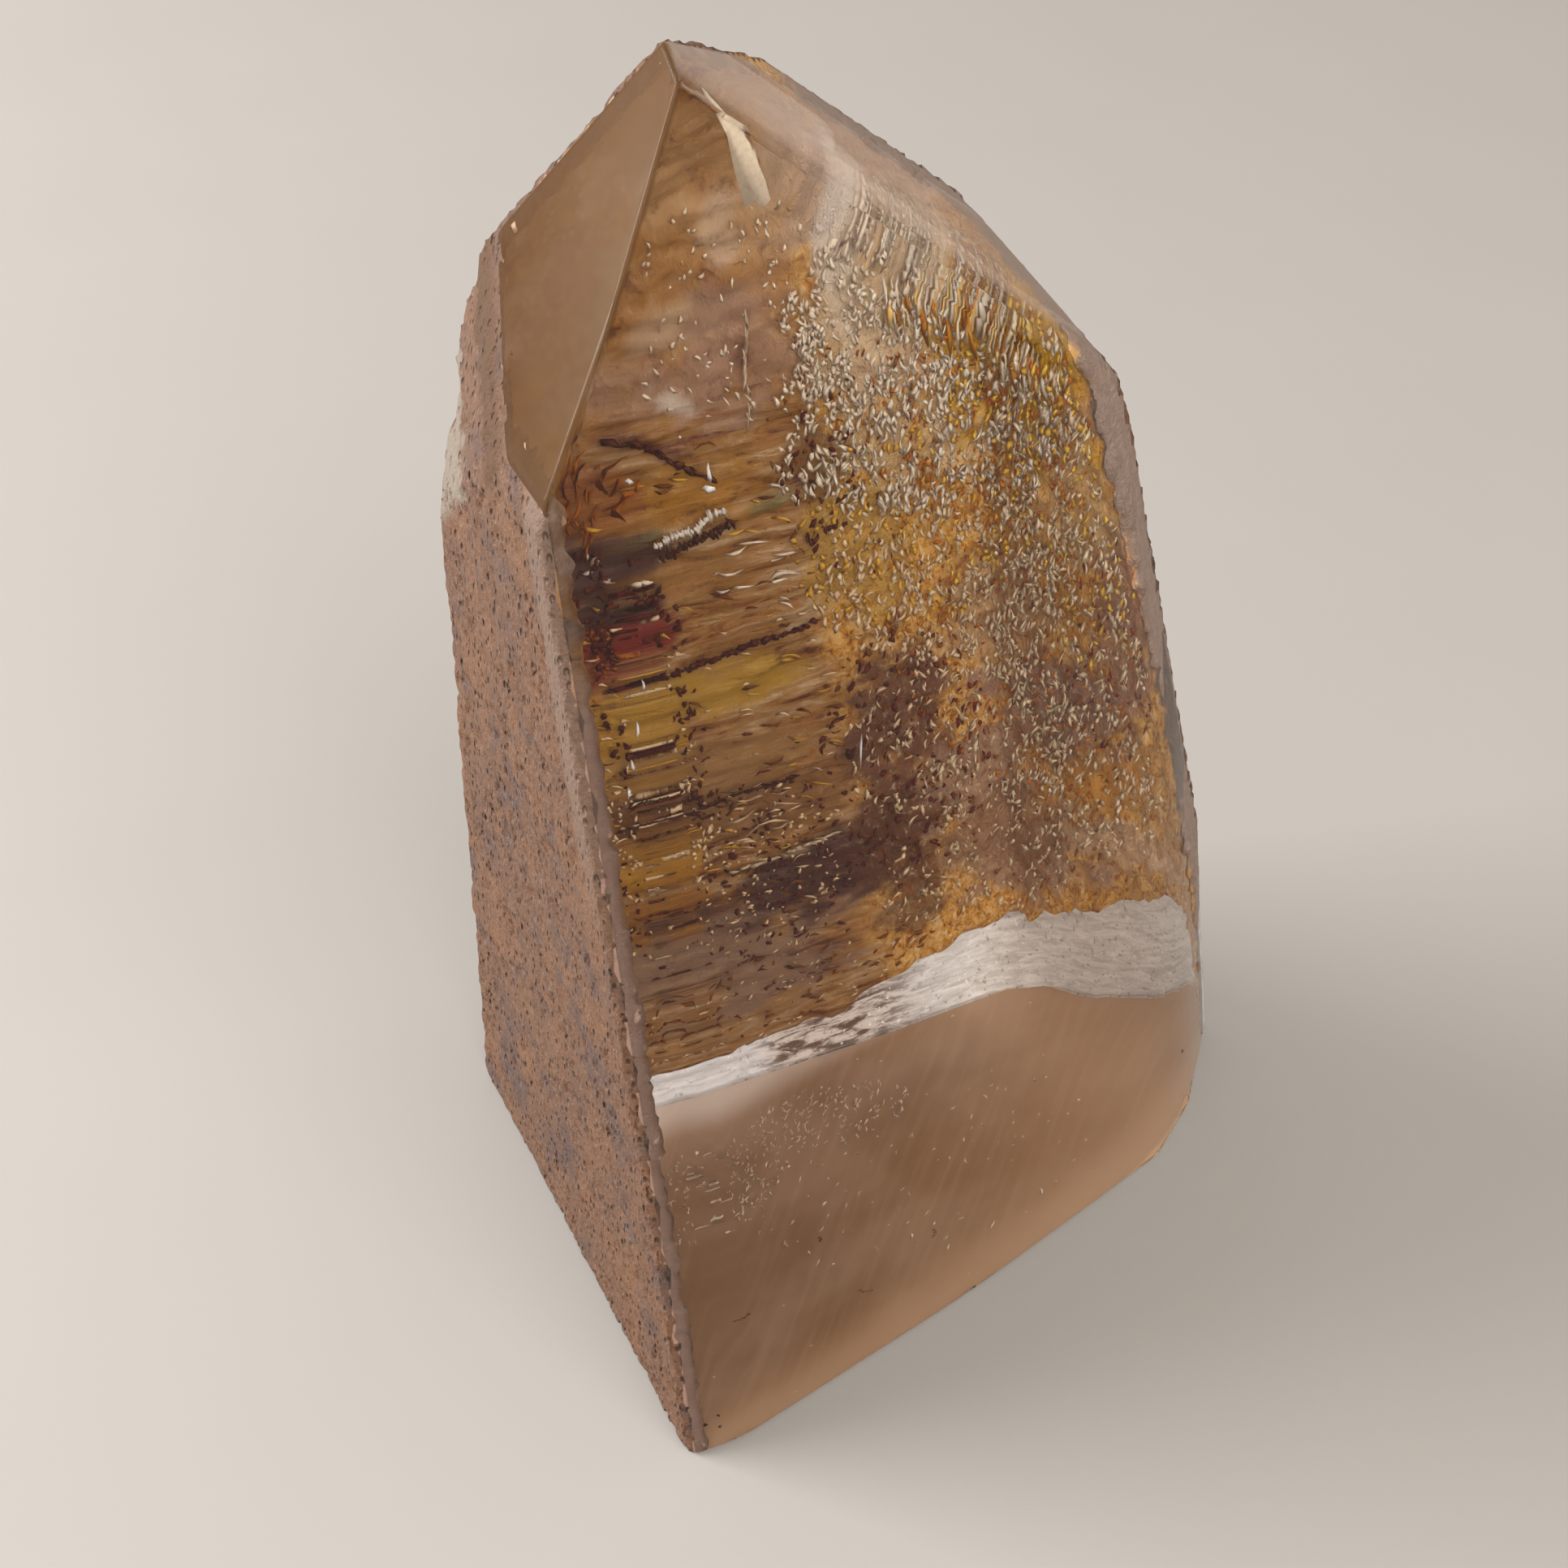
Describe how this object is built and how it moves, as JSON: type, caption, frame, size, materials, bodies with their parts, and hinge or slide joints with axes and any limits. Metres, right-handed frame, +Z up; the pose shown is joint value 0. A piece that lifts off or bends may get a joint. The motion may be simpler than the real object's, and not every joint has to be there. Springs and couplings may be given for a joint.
{
  "type": "garden quartz freeform",
  "caption": "Polished quartz freeform that stands on a flat base, clear in front, with a pitted brown and ochre layer of inclusions behind.",
  "frame": {"origin": "on the table, under the middle of the stone's bounding box", "axes": "+Z up, -Y towards the front where the two large polished facets meet, +X to the right"},
  "size_m": [0.0456, 0.0437, 0.0708],
  "materials": {
    "clear_quartz": "clear smoky quartz, polished to a gloss, with a ground base",
    "garden_layer": "matt brown, ochre and mauve mineral skin with dense small etch pits"
  },
  "bodies": {
    "root": {"clear_quartz": "clear_quartz", "garden_layer": "garden_layer"}
  },
  "joints": []
}
